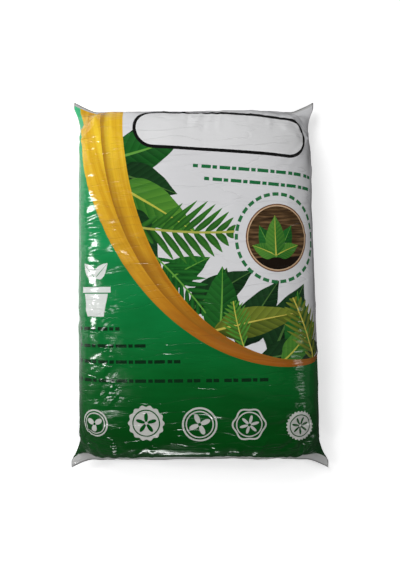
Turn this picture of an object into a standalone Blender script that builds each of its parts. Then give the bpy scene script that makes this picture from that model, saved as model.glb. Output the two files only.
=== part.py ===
"""Five-litre compost bag: one tube of printed film, filled, welded across both ends and lying on its back.

The film is made flat, as the real bag is: a front and a back sheet that share their rim.
Each point of it is then carried to its place on the filled bag.
X runs across the bag, Y along it towards the top edge, and Z up from the floor that its back lies on.
"""

import math

import bmesh
import bpy
from mathutils import Vector

# The welds, from ear tip to ear tip, narrower at the top, and the fins of doubled film outside them
WELD_WIDTH = 0.2615
WELD_TAPER = 0.0095
FIN_WIDTH = 0.010
FIN_THICKNESS = 0.0010

# The filled body, which is narrower at the top and leans to the left there. Its flat back has a swaying edge
BODY_WIDTH = 0.241
BODY_TAPER = 0.007
BODY_LEAN = 0.0033
BODY_LENGTH = 0.354
FILL_DEPTH = 0.070
SIDE_HEIGHT = 0.030
SIDE_BLUNTNESS = 2.4
END_BLUNTNESS = 2.7
BACK_BLUNTNESS = 4.5
BACK_REACH = 1.22
BACK_SWAY = 0.0006
BACK_SWAY_TURNS = 27
END_TUCK_DEGREES = 17

# The welded ends and their corner ears
WELD_HEIGHT = 0.027
EAR_HEIGHT = 0.013
EAR_LENGTH = 0.0115
FIN_DROOP_DEGREES = 52
EAR_DROOP_DEGREES = 8

# How late each curve turns: folds sink to ears, fill gives way to weld, weld runs out to its ears
FOLD_SINK_POWER = 4
FILL_FADE_POWER = 13
EAR_POWER = 6

# Gathers that run in from the welds, a coarse and a fine wave of them
GATHER_DEPTH = 0.0022
GATHER_PITCH = 0.031
GATHER_REACH = 0.034
FINE_GATHER_DEPTH = 0.0013
FINE_GATHER_PITCH = 0.0177
GATHER_START = {"top": 1.3, "bottom": 2.6}
FINE_GATHER_START = {"top": 2.9, "bottom": 5.8}

# Buckles across the side folds, where the film is longer than the filled body
BUCKLE_DEPTH = 0.0018
BUCKLE_PITCH = 0.023
BUCKLE_BAND = 0.15
BUCKLE_SWAY = 1.7
BUCKLE_START = {"right": 1.0, "left": 2.0}

# Creases that run out of the ears towards the middle
CREASE_DEPTH = 0.0042
CREASE_WIDTH = 0.011
CREASE_REACH = 0.062
CREASE_SLOPE = 0.62
WRINKLE_ROOM = 0.020

# How finely the film is cut into facets
CELLS_ACROSS = 50
CELLS_ALONG = 58
CELLS_IN_FIN = 2
PROFILE_STEPS = 240
NORMAL_STEP = 0.004

FILM_COLOUR = (0.012, 0.235, 0.060, 1.0)
FILM_ROUGHNESS = 0.28


def clear_scene():
    for thing in list(bpy.data.objects):
        bpy.data.objects.remove(thing, do_unlink=True)


def signed_power(value, power):
    return math.copysign(abs(value) ** power, value)


def rounded_profile(span, rise, bluntness, tuck_degrees=0.0):
    """Half of a blunt dome, from its crown to its rim, as rows of film share, distance out and height.

    The rim lies tuck_degrees under the widest point. Out is in units of its place at the rim, and the height
    falls from 1 to 0 there.
    """
    last_angle = math.pi / 2 + math.radians(tuck_degrees)
    outline = []
    for step in range(PROFILE_STEPS + 1):
        angle = last_angle * step / PROFILE_STEPS
        out = signed_power(math.sin(angle), 2 / bluntness)
        up = signed_power(math.cos(angle), 2 / bluntness)
        outline.append((out, up))
    rim_out, rim_up = outline[-1]
    run = [0.0]
    for (out_a, up_a), (out_b, up_b) in zip(outline, outline[1:]):
        run.append(run[-1] + math.hypot(span * (out_b - out_a), rise * (up_b - up_a)))
    return [
        (length / run[-1], out / rim_out, (up - rim_up) / (1 - rim_up))
        for length, (out, up) in zip(run, outline)
    ]


def read_profile(profile, share):
    """How far out and how high the film is at a share of its way from crown to rim. Out keeps its sign."""
    size = min(1.0, abs(share))
    row = 1
    while profile[row][0] < size:
        row += 1
    share_a, out_a, up_a = profile[row - 1]
    share_b, out_b, up_b = profile[row]
    mix = (size - share_a) / (share_b - share_a)
    return math.copysign(out_a + (out_b - out_a) * mix, share), up_a + (up_b - up_a) * mix


CROWN_RISE = FILL_DEPTH - SIDE_HEIGHT
TUCK_IN = math.cos(math.radians(END_TUCK_DEGREES)) ** (2 / END_BLUNTNESS)
WELD_TO_WELD = BODY_LENGTH * TUCK_IN
FRONT_ACROSS = rounded_profile(BODY_WIDTH / 2, CROWN_RISE, SIDE_BLUNTNESS)
FRONT_ALONG = rounded_profile(BODY_LENGTH / 2, CROWN_RISE, END_BLUNTNESS, END_TUCK_DEGREES)
BACK_ACROSS = rounded_profile(BODY_WIDTH / 2, SIDE_HEIGHT, BACK_BLUNTNESS)
BACK_ALONG = rounded_profile(BODY_LENGTH / 2, SIDE_HEIGHT, BACK_BLUNTNESS)


def filled_share(along):
    """1 in the filled body, falling to 0 at the weld, where the film is pressed flat."""
    return 1 - abs(along) ** FILL_FADE_POWER


def rim_height(across, along):
    """The height of the side folds and welds, which sink to the ears. Inside the rim it is a base line."""
    side = (SIDE_HEIGHT - EAR_HEIGHT) * (1 - abs(along) ** FOLD_SINK_POWER)
    weld = (WELD_HEIGHT - EAR_HEIGHT) * (1 - abs(across) ** FOLD_SINK_POWER)
    return EAR_HEIGHT + side + weld


def smooth_point(across, along, is_front):
    """Where a point of the unwrinkled film lies. across and along run from -1 to 1, from fold to fold and
    from weld to weld.
    """
    profile_across, profile_along = (FRONT_ACROSS, FRONT_ALONG) if is_front else (BACK_ACROSS, BACK_ALONG)
    out_across, up_across = read_profile(profile_across, across)
    out_along, up_along = read_profile(profile_along, along)

    filled = filled_share(along)
    body_half = (BODY_WIDTH - BODY_TAPER * along) / 2
    weld_half = (WELD_WIDTH - WELD_TAPER * along) / 2
    x = filled * body_half * out_across + (1 - filled) * weld_half * across - BODY_LEAN * (1 + along)

    in_body = 1 - abs(across) ** EAR_POWER
    half_length = WELD_TO_WELD / 2 + EAR_LENGTH * (1 - in_body)
    y = half_length * (out_along * in_body + along * (1 - in_body))

    base = rim_height(across, along)
    if is_front:
        z = base + (FILL_DEPTH - base) * up_across * up_along
    else:
        z = base * (1 - min(1.0, BACK_REACH * up_across * up_along))
        x += BACK_SWAY * up_across * up_along * math.sin(BACK_SWAY_TURNS * along)
        y += BACK_SWAY * up_across * up_along * math.sin(BACK_SWAY_TURNS * across)
    return Vector((x, y, z))


def gather(across, along):
    """Folds that run in from a weld. They are deepest there and die away up the film."""
    end = "top" if along > 0 else "bottom"
    distance = (1 - abs(along)) * WELD_TO_WELD / 2
    turns = 2 * math.pi * across * WELD_WIDTH / 2
    wave = GATHER_DEPTH * math.sin(turns / GATHER_PITCH + GATHER_START[end])
    wave += FINE_GATHER_DEPTH * math.sin(turns / FINE_GATHER_PITCH + FINE_GATHER_START[end])
    return wave * math.exp(-distance / GATHER_REACH) * (1 - abs(across) ** FOLD_SINK_POWER)


def buckle(across, along):
    """Short crosswise waves beside the side folds, where the film is longer than the filled body."""
    side = "right" if across > 0 else "left"
    place = along * WELD_TO_WELD / 2 / BUCKLE_PITCH
    wave = math.sin(2 * math.pi * place + BUCKLE_SWAY * math.sin(place + BUCKLE_START[side]))
    near_fold = math.exp(-(((1 - abs(across)) / BUCKLE_BAND) ** 2))
    return BUCKLE_DEPTH * wave * near_fold * filled_share(along)


def corner_crease(across, along):
    """A valley that runs from each ear towards the middle of the bag."""
    from_side = (1 - abs(across)) * WELD_WIDTH / 2
    from_weld = (1 - abs(along)) * WELD_TO_WELD / 2
    off_line = (from_side - from_weld * CREASE_SLOPE) / CREASE_WIDTH
    distance = math.hypot(from_side, from_weld) / CREASE_REACH
    return -CREASE_DEPTH * math.exp(-(off_line**2)) * distance * math.exp(1 - distance - distance**2 / 2)


def film_point(across, along, is_front):
    """A point of the film with its wrinkles, which fade where the two sheets come together."""
    here = smooth_point(across, along, is_front)
    inward = -1 if across > 0 else 1
    back_in = -1 if along > 0 else 1
    over = (smooth_point(across + inward * NORMAL_STEP, along, is_front) - here) * inward
    up = (smooth_point(across, along + back_in * NORMAL_STEP, is_front) - here) * back_in
    outward = over.cross(up).normalized()
    if not is_front:
        outward = -outward
    other = smooth_point(across, along, not is_front)
    room = min(1.0, (here - other).length / WRINKLE_ROOM)
    if is_front:
        depth = gather(across, along) + buckle(across, along) + corner_crease(across, along)
    else:
        depth = min(0.0, buckle(across, along)) * min(1.0, here.z / EAR_HEIGHT)
    return here + outward * depth * room


def fin_point(across, share, end):
    """The middle of a fin, at a share of its width out from the weld line. end is 1 at the top, else -1."""
    weld = smooth_point(across, end, True)
    weld.z += gather(across, end) * (1 - across**2) / 2
    at_ear = abs(across) ** EAR_POWER
    droop = math.radians(FIN_DROOP_DEGREES + (EAR_DROOP_DEGREES - FIN_DROOP_DEGREES) * at_ear)
    return weld + Vector((0, end * math.cos(droop), -math.sin(droop))) * FIN_WIDTH * share


def place(row, column, is_front):
    """Where the flat film's crossing of a row and a column goes. The rows outside the welds are the fins."""
    across = 2 * column / CELLS_ACROSS - 1
    body_row = row - CELLS_IN_FIN
    past_weld = max(-body_row, body_row - CELLS_ALONG)
    if past_weld < 0:
        return film_point(across, 2 * body_row / CELLS_ALONG - 1, is_front)
    middle = fin_point(across, past_weld / CELLS_IN_FIN, 1 if body_row > 0 else -1)
    on_rim = column in (0, CELLS_ACROSS) or past_weld == CELLS_IN_FIN
    half = 0 if on_rim else FIN_THICKNESS / 2
    middle.z += half if is_front else -half
    return middle


def flat_film(rows):
    """Two sheets that share their rim, each a grid of rows and columns, with every crossing in its place.

    An ear's last cell is cut from its tip inwards, so that the two sheets meet nowhere but at their rim.
    """
    mesh = bmesh.new()
    sheets = {}
    for is_front in (True, False):
        for row in range(rows + 1):
            for column in range(CELLS_ACROSS + 1):
                on_rim = row in (0, rows) or column in (0, CELLS_ACROSS)
                if on_rim and not is_front:
                    sheets[row, column, False] = sheets[row, column, True]
                else:
                    sheets[row, column, is_front] = mesh.verts.new(place(row, column, is_front))
    for is_front in (True, False):
        for row in range(rows):
            for column in range(CELLS_ACROSS):
                corners = [
                    sheets[row, column, is_front],
                    sheets[row, column + 1, is_front],
                    sheets[row + 1, column + 1, is_front],
                    sheets[row + 1, column, is_front],
                ]
                in_ear = row in (0, rows - 1) and column in (0, CELLS_ACROSS - 1)
                tip = 0 if (row == 0) == (column == 0) else 1
                corners = corners[tip:] + corners[:tip]
                facets = [corners[:3], [corners[0], corners[2], corners[3]]] if in_ear else [corners]
                for facet in facets:
                    mesh.faces.new(facet if is_front else facet[::-1])
    return mesh


def film_material():
    material = bpy.data.materials.new("printed_film")
    material.use_nodes = True
    shader = material.node_tree.nodes["Principled BSDF"]
    shader.inputs["Base Color"].default_value = FILM_COLOUR
    shader.inputs["Roughness"].default_value = FILM_ROUGHNESS
    shader.inputs["Metallic"].default_value = 0.0
    return material


def centre_on_origin(mesh):
    """Puts the bag's box centred on the origin, with its back on the floor."""
    corners = [vert.co for vert in mesh.verts]
    middle_x = (min(c.x for c in corners) + max(c.x for c in corners)) / 2
    middle_y = (min(c.y for c in corners) + max(c.y for c in corners)) / 2
    bmesh.ops.translate(mesh, verts=mesh.verts, vec=(-middle_x, -middle_y, 0))


def build_bag():
    mesh = flat_film(CELLS_ALONG + 2 * CELLS_IN_FIN)
    centre_on_origin(mesh)
    data = bpy.data.meshes.new("compost_bag")
    mesh.to_mesh(data)
    mesh.free()
    data.shade_smooth()
    bag = bpy.data.objects.new("compost_bag", data)
    bag.data.materials.append(film_material())
    bpy.context.scene.collection.objects.link(bag)
    return bag


clear_scene()
build_bag()
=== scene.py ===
"""A five-litre compost bag of printed film, lying on its back on a pale studio floor.

The film is a flat printed pouch, welded across both ends. It starts as the filled form. A cloth simulation
then draws it to the pouch's own flat lengths over the fill, which makes its buckles and crumpled corners.
"""

import math
from collections import namedtuple

import bpy
import numpy as np
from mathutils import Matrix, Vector, noise


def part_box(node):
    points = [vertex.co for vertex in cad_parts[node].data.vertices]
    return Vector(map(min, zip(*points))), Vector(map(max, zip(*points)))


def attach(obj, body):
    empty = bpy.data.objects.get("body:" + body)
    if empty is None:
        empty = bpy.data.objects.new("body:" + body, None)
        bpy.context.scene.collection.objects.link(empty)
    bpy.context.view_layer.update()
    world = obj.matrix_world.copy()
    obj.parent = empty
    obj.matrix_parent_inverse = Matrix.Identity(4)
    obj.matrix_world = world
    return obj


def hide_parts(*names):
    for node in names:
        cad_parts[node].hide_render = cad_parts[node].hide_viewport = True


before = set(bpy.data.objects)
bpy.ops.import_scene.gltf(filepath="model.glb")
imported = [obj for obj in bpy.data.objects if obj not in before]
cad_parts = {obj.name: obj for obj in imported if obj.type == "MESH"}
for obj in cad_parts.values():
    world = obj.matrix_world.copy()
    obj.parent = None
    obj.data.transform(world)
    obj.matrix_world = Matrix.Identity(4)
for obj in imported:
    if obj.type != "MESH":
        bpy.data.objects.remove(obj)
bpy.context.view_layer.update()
bag_low, bag_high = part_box("compost_bag")

MM = 1000

# The filled form, as in the solid, in metres. Its lower weld is the wider one
WELD_TAPER = 0.0095
WELD_WIDTH = bag_high.x - bag_low.x - WELD_TAPER
FILL_DEPTH = bag_high.z - bag_low.z
FIN_WIDTH = 0.010
BODY_WIDTH = 0.241
BODY_TAPER = 0.007
BODY_LEAN = 0.0033
SIDE_HEIGHT = 0.030
SIDE_BLUNTNESS = 2.4
END_BLUNTNESS = 2.7
BACK_BLUNTNESS = 4.5
BACK_REACH = 1.22
END_TUCK_DEGREES = 17
WELD_HEIGHT = 0.027
EAR_HEIGHT = 0.013
EAR_LENGTH = 0.0115
FIN_DROOP_DEGREES = 52
EAR_DROOP_DEGREES = 8
FOLD_SINK_POWER = 4
FILL_FADE_POWER = 13
EAR_POWER = 6
PROFILE_STEPS = 241

# The fins reach as far as the solid does, which gives the weld lines their place
EAR_REACH = EAR_LENGTH + FIN_WIDTH * math.cos(math.radians(EAR_DROOP_DEGREES))
WELD_TO_WELD = bag_high.y - bag_low.y - 2 * EAR_REACH
BODY_LENGTH = WELD_TO_WELD / math.cos(math.radians(END_TUCK_DEGREES)) ** (2 / END_BLUNTNESS)

# Wrinkles that the film starts with, in metres. A wave's starts are angles: for gathers at the upper and the
# lower end, for buckles on the right and the left side
GATHER_DEPTH = 0.0022
GATHER_PITCH = 0.031
GATHER_REACH = 0.034
GATHER_STARTS = (1.3, 2.6)
FINE_GATHER_DEPTH = 0.0013
FINE_GATHER_PITCH = 0.0177
FINE_GATHER_STARTS = (2.9, 5.8)
BUCKLE_DEPTH = 0.0018
BUCKLE_PITCH = 0.023
BUCKLE_BAND = 0.15
BUCKLE_SWAY = 1.7
BUCKLE_STARTS = (1, 2)
CREASE_DEPTH = 0.0042
CREASE_WIDTH = 0.011
CREASE_REACH = 0.062
CREASE_SLOPE = 0.62
WRINKLE_ROOM = 0.020
FILM_LUMP = 0.0008
FILM_LUMP_SIZE = 0.018
FILM_LUMP_ROOM = 0.010

# The empty pouch lying flat, from fold to fold and weld to weld. The back's map lies beside the front's
FLAT_WIDTH = 0.2835
FLAT_LENGTH = 0.403
CELLS_ACROSS = 72
CELLS_ALONG = 104
CELLS_IN_FIN = 2
FIN_SHARES = np.arange(1, CELLS_IN_FIN + 1) / CELLS_IN_FIN
SHEET_GAP = 0.0004
BACK_SHIFT = 1.0

# The fill that the film lies on
FILL_CELLS_ACROSS = 44
FILL_CELLS_ALONG = 62
FILL_INSET = 0.0016
FILL_INSET_MOST = 0.35
FILL_LUMP_ROOM = 0.030
COARSE_LUMP = 0.0016
COARSE_LUMP_SIZE = 0.033
FINE_LUMP = 0.0006
FINE_LUMP_SIZE = 0.014

# How the film settles: the skin between film and fill, how firmly things hold, and by which frame
SKIN = 0.001
FILL_HOLD_DEPTH = 0.008
FILL_FRICTION = 5
GROUND_SIZE = 1.2
GROUND_HEIGHT = -0.0015
DRAWN_FRAME = 5
SETTLED_FRAME = 20
FURTHEST_MOVE = 0.009
EAR_HOLD = (0.012, 0.055)
FIN_HOLD = 0.5
FILM_CLOTH = {
    "quality": 6,
    "mass": 0.05,
    "use_dynamic_mesh": True,
    "tension_stiffness": 60,
    "compression_stiffness": 60,
    "shear_stiffness": 20,
    "bending_stiffness": 0.3,
    "vertex_group_bending": "welded",
    "bending_stiffness_max": 100,
}

# Small sharp creases, by patches of the flat film in millimetres and degrees:
# middle, spread, how many, heading, how far it varies, length, width, depth and how far one side leans out
CREASE_PATCHES = [
    ((-110, 70), (7, 42), 22, 0, 14, 13, 1.9, 0.55, 1),
    ((-92, -82), (6, 24), 34, 35, 60, 13, 2.0, 0.6, 1),
    ((-75, -170), (26, 6), 18, 75, 40, 13, 2.0, 0.7, 1),
    ((60, -171), (34, 6), 20, 100, 40, 13, 2.0, 0.65, 1),
    ((45, -118), (44, 16), 16, -8, 14, 44, 2.4, 1.0, 2.6),
    ((-60, 50), (46, 60), 20, -2, 16, 40, 2.0, 0.4, 2.6),
    ((115, 169), (12, 10), 26, 130, 40, 18, 2.2, 1.0, 1),
    ((110, -162), (15, 12), 24, 50, 40, 19, 2.3, 1.1, 1),
    ((-112, -162), (14, 12), 22, 130, 40, 18, 2.2, 1.0, 1),
    ((-112, 166), (14, 12), 14, 50, 40, 16, 2.1, 0.8, 1),
    ((116, -20), (7, 80), 24, 0, 20, 13, 1.9, 0.5, 1),
    ((-118, -30), (6, 70), 18, 0, 20, 12, 1.9, 0.45, 1),
    ((0, 172), (70, 6), 22, 85, 30, 14, 2.2, 0.85, 1),
    ((0, 0), (70, 110), 50, 0, 35, 34, 3.2, 0.34, 2.6),
    ((-84, 0), (10, 36), 9, 5, 9, 46, 1.9, 1.0, 2.6),
    ((20, -110), (60, 26), 16, -4, 12, 60, 1.9, 1.2, 2.6),
    ((-84, 72), (10, 16), 8, 4, 8, 48, 1.8, 1.2, 2.6),
]
CREASE_SEED = 11
CREASE_LENGTHS = (0.6, 1.4)
CREASE_BEND = 0.5
CREASE_DOWN_OR_UP = (0.4, 0.6)
SHALLOWEST_CREASE = 0.4
GRAIN_DEPTH = 0.10
GRAIN_SIZE = 7.0
GRAIN_SQUASH = 1.6
WELD_MARGIN = 8
FOLD_MARGIN = 5

# Small crosswise buckles beside the side folds, in millimetres, deepest on the upper left
SMALL_BUCKLE_DEPTH = 0.5
SMALL_BUCKLE_PITCH = 9.2
SMALL_BUCKLE_MIDDLE = 109
SMALL_BUCKLE_BAND = 12
SMALL_BUCKLE_SWAY = 0.4
SMALL_BUCKLE_SWAY_ACROSS = 90
SMALL_BUCKLE_SWAY_ALONG = 23
SMALL_BUCKLE_ARCH = 0.12
SMALL_BUCKLE_LEAST = 0.2
DEEP_BUCKLE_MIDDLE = 52
DEEP_BUCKLE_REACH = 30
UNEVEN_SIZE = 15
UNEVEN_STRETCH = 0.6
UNEVEN_LAYER = 40
UNEVEN_TURNS = 0.9
UNEVEN_DEPTH = 1.6


def rounded_profile(span, rise, bluntness, tuck_degrees=0.0):
    """Half of a blunt dome, from its crown to its rim: film share, distance out and height."""
    angle = np.linspace(0, math.pi / 2 + math.radians(tuck_degrees), PROFILE_STEPS)
    out = np.abs(np.sin(angle)) ** (2 / bluntness)
    up = np.sign(np.cos(angle)) * np.abs(np.cos(angle)) ** (2 / bluntness)
    steps = np.hypot(span * np.diff(out), rise * np.diff(up))
    run = np.concatenate([[0], np.cumsum(steps)])
    return run / run[-1], out / out[-1], (up - up[-1]) / (1 - up[-1])


CROWN_RISE = FILL_DEPTH - SIDE_HEIGHT
FRONT_ACROSS = rounded_profile(BODY_WIDTH / 2, CROWN_RISE, SIDE_BLUNTNESS)
FRONT_ALONG = rounded_profile(BODY_LENGTH / 2, CROWN_RISE, END_BLUNTNESS, END_TUCK_DEGREES)
BACK_ACROSS = rounded_profile(BODY_WIDTH / 2, SIDE_HEIGHT, BACK_BLUNTNESS)
BACK_ALONG = rounded_profile(BODY_LENGTH / 2, SIDE_HEIGHT, BACK_BLUNTNESS)


def read_profile(profile, share):
    """How far out and how high the film is at a share of its way from crown to rim."""
    run, out, up = profile
    size = np.abs(share)
    return np.sign(share) * np.interp(size, run, out), np.interp(size, run, up)


def smooth_form(across, along, is_front):
    """Where the unwrinkled film lies. across and along run from -1 to 1, fold to fold and weld to weld."""
    out_across, up_across = read_profile(FRONT_ACROSS if is_front else BACK_ACROSS, across)
    out_along, up_along = read_profile(FRONT_ALONG if is_front else BACK_ALONG, along)
    filled = 1 - np.abs(along) ** FILL_FADE_POWER
    body_half = (BODY_WIDTH - BODY_TAPER * along) / 2
    weld_half = (WELD_WIDTH - WELD_TAPER * along) / 2
    x = filled * body_half * out_across + (1 - filled) * weld_half * across - BODY_LEAN * (1 + along)
    in_body = 1 - np.abs(across) ** EAR_POWER
    half_length = WELD_TO_WELD / 2 + EAR_LENGTH * (1 - in_body)
    y = half_length * (out_along * in_body + along * (1 - in_body))
    side = (SIDE_HEIGHT - EAR_HEIGHT) * (1 - np.abs(along) ** FOLD_SINK_POWER)
    weld = (WELD_HEIGHT - EAR_HEIGHT) * (1 - np.abs(across) ** FOLD_SINK_POWER)
    base = EAR_HEIGHT + side + weld
    if is_front:
        z = base + (FILL_DEPTH - base) * up_across * up_along
    else:
        z = base * (1 - np.minimum(1, BACK_REACH * up_across * up_along))
    return np.stack([x, y, z], axis=-1)


def outward_of(points, is_front):
    """The outward direction at each point of a sheet."""
    direction = np.cross(np.gradient(points, axis=1), np.gradient(points, axis=0))
    direction /= np.maximum(1e-12, np.linalg.norm(direction, axis=-1, keepdims=True))
    return direction if is_front else -direction


def lumps(points, size, height):
    """Even, rounded lumps of a size and height, at each point."""
    rows = [[noise.noise(Vector(point) / size) for point in row] for row in points]
    return np.array(rows) * height


def gather(across, along):
    """Folds that run in from a weld."""
    distance = (1 - np.abs(along)) * WELD_TO_WELD / 2
    turns = math.pi * across * WELD_WIDTH
    start = np.where(along > 0, *GATHER_STARTS)
    fine_start = np.where(along > 0, *FINE_GATHER_STARTS)
    wave = GATHER_DEPTH * np.sin(turns / GATHER_PITCH + start)
    wave += FINE_GATHER_DEPTH * np.sin(turns / FINE_GATHER_PITCH + fine_start)
    return wave * np.exp(-distance / GATHER_REACH) * (1 - np.abs(across) ** FOLD_SINK_POWER)


def buckle(across, along):
    """Short crosswise waves beside the side folds."""
    place = along * WELD_TO_WELD / 2 / BUCKLE_PITCH
    sway = BUCKLE_SWAY * np.sin(place + np.where(across > 0, *BUCKLE_STARTS))
    wave = np.sin(2 * math.pi * place + sway)
    near_fold = np.exp(-(((1 - np.abs(across)) / BUCKLE_BAND) ** 2))
    return BUCKLE_DEPTH * wave * near_fold * (1 - np.abs(along) ** FILL_FADE_POWER)


def corner_crease(across, along):
    """A valley that runs from each ear towards the middle."""
    from_side = (1 - np.abs(across)) * WELD_WIDTH / 2
    from_weld = (1 - np.abs(along)) * WELD_TO_WELD / 2
    off_line = (from_side - from_weld * CREASE_SLOPE) / CREASE_WIDTH
    distance = np.hypot(from_side, from_weld) / CREASE_REACH
    return -CREASE_DEPTH * np.exp(-(off_line**2)) * distance * np.exp(1 - distance - distance**2 / 2)


def grid_shares(cells_across, cells_along):
    """Where each point of a grid lies, from -1 to 1 across and along."""
    return np.meshgrid(np.linspace(-1, 1, cells_across + 1), np.linspace(-1, 1, cells_along + 1))


def cell_corners(grid):
    """The corners of each cell of a grid, going round it."""
    return [grid[:-1, :-1], grid[:-1, 1:], grid[1:, 1:], grid[1:, :-1]]


def cell_quads(numbers):
    """A quad of vertex numbers for each cell of a grid of them."""
    return np.stack([corner.ravel() for corner in cell_corners(numbers)], axis=-1)


def pouch_numbers(rows, columns):
    """Vertex numbers of two sheets that share their rim, as two grids, and the quads between them."""
    front = np.arange(rows * columns).reshape(rows, columns)
    back = front.copy()
    inner = (rows - 2) * (columns - 2)
    back[1:-1, 1:-1] = rows * columns + np.arange(inner).reshape(rows - 2, columns - 2)
    quads = []
    for sheet, turn in ((front, 1), (back, -1)):
        quads.append(cell_quads(sheet)[:, ::turn])
    return front, back, np.concatenate(quads)


def mesh_object(name, points, faces):
    """A new object of points and faces, with its origin at the frame's."""
    mesh = bpy.data.meshes.new(name)
    mesh.from_pydata(points.tolist(), [], faces.tolist())
    mesh.update()
    thing = bpy.data.objects.new(name, mesh)
    bpy.context.scene.collection.objects.link(thing)
    return thing


def closed_pouch(name, front_points, back_points):
    """Two sheets that share their rim as one closed object, and the vertex numbers of each sheet."""
    rows, columns = front_points.shape[:2]
    front, back, quads = pouch_numbers(rows, columns)
    points = np.concatenate([front_points.reshape(-1, 3), back_points[1:-1, 1:-1].reshape(-1, 3)])
    return mesh_object(name, points, quads), front, back


def fill_body():
    """The compost, a little inside the film, with the lumps that show through it."""
    across, along = grid_shares(FILL_CELLS_ACROSS, FILL_CELLS_ALONG)
    front = smooth_form(across, along, True)
    back = smooth_form(across, along, False)
    depth = np.linalg.norm(front - back, axis=-1)
    inset = np.minimum(FILL_INSET, depth * FILL_INSET_MOST)
    lumpy = lumps(front, COARSE_LUMP_SIZE, COARSE_LUMP) + lumps(front, FINE_LUMP_SIZE, FINE_LUMP)
    lumpy *= np.minimum(1, depth / FILL_LUMP_ROOM)
    front_points = front - outward_of(front, True) * (inset - lumpy)[..., None]
    back_points = back - outward_of(back, False) * (inset / 2)[..., None]
    return closed_pouch("fill", front_points, back_points)[0]


def fin_rows(weld, end):
    """The rows of a fin outside its weld line, drooping in the middle and nearly level at the ears."""
    across = np.linspace(-1, 1, weld.shape[0])
    change = (EAR_DROOP_DEGREES - FIN_DROOP_DEGREES) * np.abs(across) ** EAR_POWER
    droop = np.radians(FIN_DROOP_DEGREES + change)
    out = np.stack([np.zeros_like(droop), end * np.cos(droop), -np.sin(droop)], axis=-1)
    return weld + out * (FIN_WIDTH * FIN_SHARES)[:, None, None]


def starting_film():
    """The film round the filled form: both sheets, and the fins below and above them."""
    across, along = grid_shares(CELLS_ACROSS, CELLS_ALONG)
    front = smooth_form(across, along, True)
    back = smooth_form(across, along, False)
    depth = np.linalg.norm(front - back, axis=-1)
    room = np.minimum(1, depth / WRINKLE_ROOM)
    raised = (gather(across, along) + buckle(across, along) + corner_crease(across, along)) * room
    raised += lumps(front, FILM_LUMP_SIZE, FILM_LUMP) * np.minimum(1, depth / FILM_LUMP_ROOM)
    sunk = np.minimum(0, buckle(across, along)) * np.minimum(1, back[..., 2] / EAR_HEIGHT) * room
    front_points = front + outward_of(front, True) * raised[..., None]
    back_points = back + outward_of(back, False) * sunk[..., None]
    for row in (0, -1):
        front_points[row] = back_points[row] = front[row]
        front_points[row, :, 2] += gather(across, along)[row] * (1 - across[row] ** 2) / 2
    fins = [fin_rows(front_points[0], -1), fin_rows(front_points[-1], 1)]
    return front_points, back_points, fins


def flat_pouch():
    """Where each point of the film lies when the pouch is empty and flat."""
    across, along = grid_shares(CELLS_ACROSS, CELLS_ALONG)
    half_gap = np.full_like(across, SHEET_GAP)
    half_gap[[0, -1], :] = 0
    half_gap[:, [0, -1]] = 0
    front = np.stack([across * FLAT_WIDTH / 2, along * FLAT_LENGTH / 2, half_gap], axis=-1)
    back = front * [1, 1, -1]
    fins = []
    for row, end in ((0, -1), (-1, 1)):
        step = np.array([0, end * FIN_WIDTH, 0])
        fins.append(front[row] + step * FIN_SHARES[:, None, None])
    return front, back, fins


def film_to_settle(front, back, fins):
    """The starting film as one object, and the vertex numbers of its front, its back and its fins."""
    columns = front.shape[1]
    film, front_ids, back_ids = closed_pouch("settling_film", front, back)
    sheet_points = len(film.data.vertices)
    fin_ids = sheet_points + np.arange(2 * CELLS_IN_FIN * columns).reshape(2, CELLS_IN_FIN, columns)
    points = np.concatenate([np.array([v.co for v in film.data.vertices]), np.array(fins).reshape(-1, 3)])
    faces = [list(p.vertices) for p in film.data.polygons]
    for end, weld_row in ((0, 0), (1, -1)):
        ladder = np.concatenate([front_ids[weld_row][None], fin_ids[end]])
        faces += cell_quads(ladder).tolist()
    bpy.data.objects.remove(film)
    return mesh_object("settling_film", points, np.array(faces)), front_ids, back_ids, fin_ids


def draw_to_pouch(film, front_ids, back_ids, fin_ids):
    """Draws the film to the flat pouch's own lengths over the first frames, and marks its stiff welds."""
    flat_front, flat_back, flat_fins = flat_pouch()
    lengths = np.empty((len(film.data.vertices), 3))
    lengths[back_ids.ravel()] = flat_back.reshape(-1, 3)
    lengths[front_ids.ravel()] = flat_front.reshape(-1, 3)
    lengths[fin_ids.ravel()] = np.array(flat_fins).reshape(-1, 3)
    film.shape_key_add(name="filled")
    flat = film.shape_key_add(name="flat")
    flat.data.foreach_set("co", lengths.ravel())
    flat.value = 0
    flat.keyframe_insert("value", frame=1)
    flat.value = 1
    flat.keyframe_insert("value", frame=DRAWN_FRAME)
    welded = film.vertex_groups.new(name="welded")
    stiff = np.concatenate([fin_ids.ravel(), front_ids[0], front_ids[-1]])
    welded.add([int(i) for i in stiff], 1.0, "REPLACE")


def fill_and_ground():
    """What holds the film while it settles."""
    fill = fill_body()
    fill.modifiers.new("hold", "COLLISION")
    fill.collision.thickness_outer = SKIN
    fill.collision.thickness_inner = FILL_HOLD_DEPTH
    fill.collision.cloth_friction = FILL_FRICTION
    bpy.ops.mesh.primitive_plane_add(size=GROUND_SIZE, location=(0, 0, GROUND_HEIGHT))
    ground = bpy.context.object
    ground.modifiers.new("hold", "COLLISION")
    ground.collision.thickness_outer = SKIN
    return fill, ground


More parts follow.
